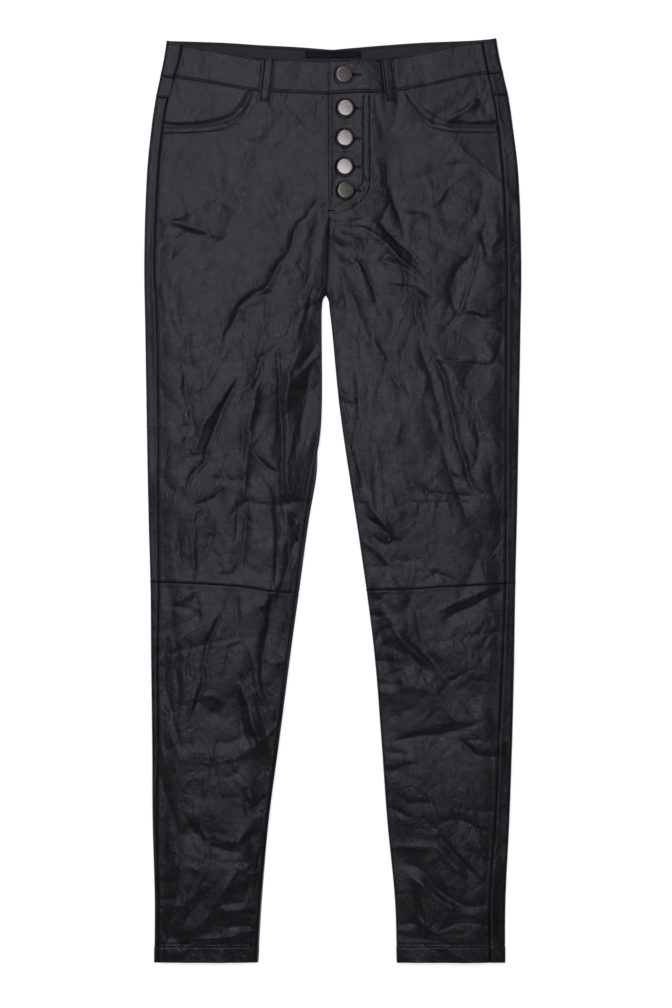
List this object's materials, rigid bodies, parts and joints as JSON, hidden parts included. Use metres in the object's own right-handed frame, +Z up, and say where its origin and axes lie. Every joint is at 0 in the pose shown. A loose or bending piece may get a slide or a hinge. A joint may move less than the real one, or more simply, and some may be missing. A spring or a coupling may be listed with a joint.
{
  "type": "leather trousers",
  "caption": "High-waisted skinny trousers in black leather with a buttoned fly, curved front pockets, knee seams and belt loops, laid flat on their back.",
  "frame": {"origin": "middle of the underside, where the trousers lie on a flat surface", "axes": "+Z up from the surface through the front, +Y from the hems towards the waistband, +X towards the wearer's left"},
  "size_m": [0.4116, 1.0084, 0.0143],
  "materials": {
    "black_leather": "soft satin black leather with a fine grain, small wrinkles and black topstitching",
    "inner_face": "the same leather turned inside the waistband, a little duller",
    "label_cloth": "plain black woven tape with nothing on it",
    "button_metal": "domed shank button in dark brushed metal"
  },
  "bodies": {
    "root": {"right_front_thigh": "black_leather", "right_back_thigh": "black_leather", "right_front_calf": "black_leather", "right_back_calf": "black_leather", "right_yoke": "black_leather", "right_pocket_facing": "black_leather", "right_front_band": "black_leather", "right_front_loop": "black_leather", "left_front_thigh": "black_leather", "left_back_thigh": "black_leather", "left_front_calf": "black_leather", "left_back_calf": "black_leather", "left_yoke": "black_leather", "left_pocket_facing": "black_leather", "left_front_band": "black_leather", "left_front_loop": "black_leather", "back_band": "black_leather", "back_band_facing": "inner_face", "label": "label_cloth", "fly_underlap": "black_leather", "right_back_loop": "black_leather", "centre_back_loop": "black_leather", "left_back_loop": "black_leather", "button_1": "button_metal", "button_2": "button_metal", "button_3": "button_metal", "button_4": "button_metal", "button_5": "button_metal"}
  },
  "joints": []
}
